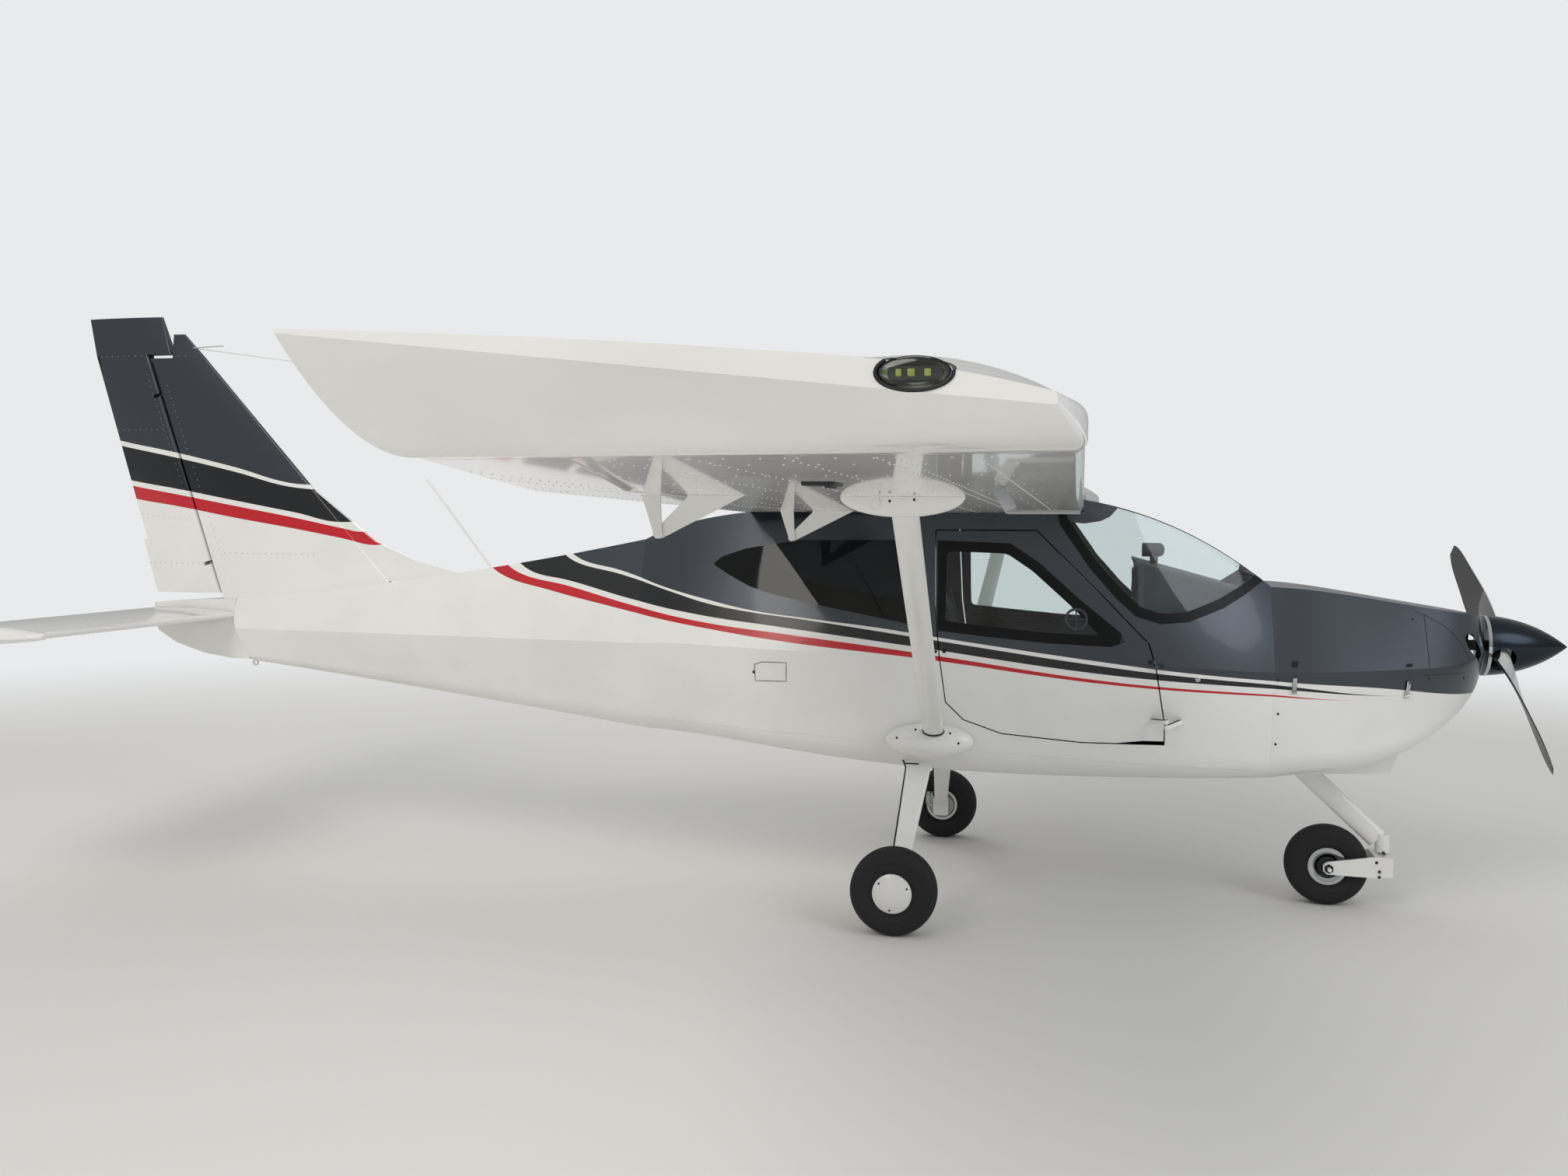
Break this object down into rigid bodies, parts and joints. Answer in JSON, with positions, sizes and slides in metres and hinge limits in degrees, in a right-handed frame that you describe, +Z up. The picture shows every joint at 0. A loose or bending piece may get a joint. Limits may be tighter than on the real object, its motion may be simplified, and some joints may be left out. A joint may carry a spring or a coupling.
{
  "type": "light sport aircraft",
  "caption": "High-wing, strut-braced light sport aircraft with two seats, tricycle gear, hinged doors, flaps, ailerons, rudder and all-moving stabilator.",
  "frame": {"origin": "on the ground, midway along the length and on the centre line", "axes": "+X to the nose, +Y to port, +Z up"},
  "size_m": [6.97, 8.8, 2.6499],
  "materials": {
    "alloy": "satin",
    "blade": "painted composite",
    "chrome_spinner": "polished",
    "engine": null,
    "glazing": "clear acrylic",
    "interior": "moulded trim",
    "lens": "clear lens",
    "metal_skin": "gloss white paint on riveted aluminium",
    "seat_cover": "upholstery",
    "tyre": "rubber",
    "white_skin": "gloss white paint on composite and sheet skins"
  },
  "bodies": {
    "airframe": {"antennas": "alloy", "baggage_bulkhead": "alloy", "belly_skin": "white_skin", "cabin_floor": "interior", "cabin_shell": "white_skin", "chin_scoop": "white_skin", "cowl_lower": "white_skin", "cowl_upper": "white_skin", "engine_block": "engine", "fin": "white_skin", "firewall": "alloy", "flap_brackets": "metal_skin", "instrument_panel": "interior", "main_axles": "alloy", "main_legs": "alloy", "nose_leg": "alloy", "pitot_probe": "alloy", "rear_windows": "glazing", "roof_panel": "white_skin", "seat_left": "seat_cover", "seat_right": "seat_cover", "strut_fairings": "white_skin", "struts": "alloy", "tail_cone": "white_skin", "tail_fairing": "white_skin", "tie_downs": "alloy", "windshield": "glazing", "wing_left": "metal_skin", "wing_lights": "lens", "wing_right": "metal_skin", "wing_tips": "white_skin"},
    "propeller": {"propeller": "blade", "spinner": "chrome_spinner"},
    "main_wheel_left": {"main_tyre_left": "tyre", "main_rim_left": "alloy"},
    "main_wheel_right": {"main_tyre_right": "tyre", "main_rim_right": "alloy"},
    "nose_fork": {"nose_fork": "alloy"},
    "nose_wheel": {"nose_tyre": "tyre", "nose_rim": "alloy"},
    "door_left": {"door_left": "white_skin", "door_glass_left": "glazing"},
    "door_right": {"door_right": "white_skin", "door_glass_right": "glazing"},
    "flap_left": {"flap_left": "metal_skin"},
    "flap_right": {"flap_right": "metal_skin"},
    "aileron_left": {"aileron_left": "metal_skin"},
    "aileron_right": {"aileron_right": "metal_skin"},
    "rudder": {"rudder": "metal_skin"},
    "stabilator": {"stabilator": "metal_skin", "stabilator_tab": "metal_skin"}
  },
  "joints": [
    {"name": "propeller_spin", "type": "hinge", "parent": "airframe", "child": "propeller", "pos_m": [3.216, 0, 1.122], "axis": [1, 0, 0], "continuous": true},
    {"name": "main_wheel_left_roll", "type": "hinge", "parent": "airframe", "child": "main_wheel_left", "pos_m": [0.838, 0.87, 0.173], "axis": [0, 1, 0], "continuous": true},
    {"name": "main_wheel_right_roll", "type": "hinge", "parent": "airframe", "child": "main_wheel_right", "pos_m": [0.838, -0.87, 0.173], "axis": [0, 1, 0], "continuous": true},
    {"name": "nose_steer", "type": "hinge", "parent": "airframe", "child": "nose_fork", "pos_m": [2.795, 0, 0.2], "axis": [0, 0, 1], "range_deg": [-35, 35]},
    {"name": "nose_wheel_roll", "type": "hinge", "parent": "nose_fork", "child": "nose_wheel", "pos_m": [2.572, 0, 0.17], "axis": [0, 1, 0], "continuous": true},
    {"name": "door_left_hinge", "type": "hinge", "parent": "airframe", "child": "door_left", "pos_m": [1.88, 0.606, 0.815], "axis": [0.1792, 0, -0.9838], "range_deg": [0, 70]},
    {"name": "door_right_hinge", "type": "hinge", "parent": "airframe", "child": "door_right", "pos_m": [1.88, -0.606, 0.815], "axis": [-0.1792, 0, 0.9838], "range_deg": [0, 70]},
    {"name": "flap_left_hinge", "type": "hinge", "parent": "airframe", "child": "flap_left", "pos_m": [0.385, 1.68, 1.57955], "axis": [0, -0.9998, -0.0204], "range_deg": [0, 40]},
    {"name": "flap_right_hinge", "type": "hinge", "parent": "airframe", "child": "flap_right", "pos_m": [0.385, -1.68, 1.57955], "axis": [0, -0.9998, 0.0204], "range_deg": [0, 40]},
    {"name": "aileron_left_hinge", "type": "hinge", "parent": "airframe", "child": "aileron_left", "pos_m": [0.56289, 3.4, 1.76868], "axis": [0.267, 0.9635, 0.0197], "range_deg": [-15, 15]},
    {"name": "aileron_right_hinge", "type": "hinge", "parent": "airframe", "child": "aileron_right", "pos_m": [0.56289, -3.4, 1.76868], "axis": [-0.267, 0.9635, -0.0197], "range_deg": [-15, 15]},
    {"name": "rudder_hinge", "type": "hinge", "parent": "airframe", "child": "rudder", "pos_m": [-2.76, 0, 1.25], "axis": [-0.3085, 0, 0.9512], "range_deg": [-25, 25]},
    {"name": "stabilator_tilt", "type": "hinge", "parent": "airframe", "child": "stabilator", "pos_m": [-2.809, 0, 1.145], "axis": [0, 1, 0], "range_deg": [-4, 14]}
  ],
  "couplings": [
    {"joint": "flap_right_hinge", "follows": "flap_left_hinge", "ratio": 1},
    {"joint": "aileron_right_hinge", "follows": "aileron_left_hinge", "ratio": 1}
  ]
}
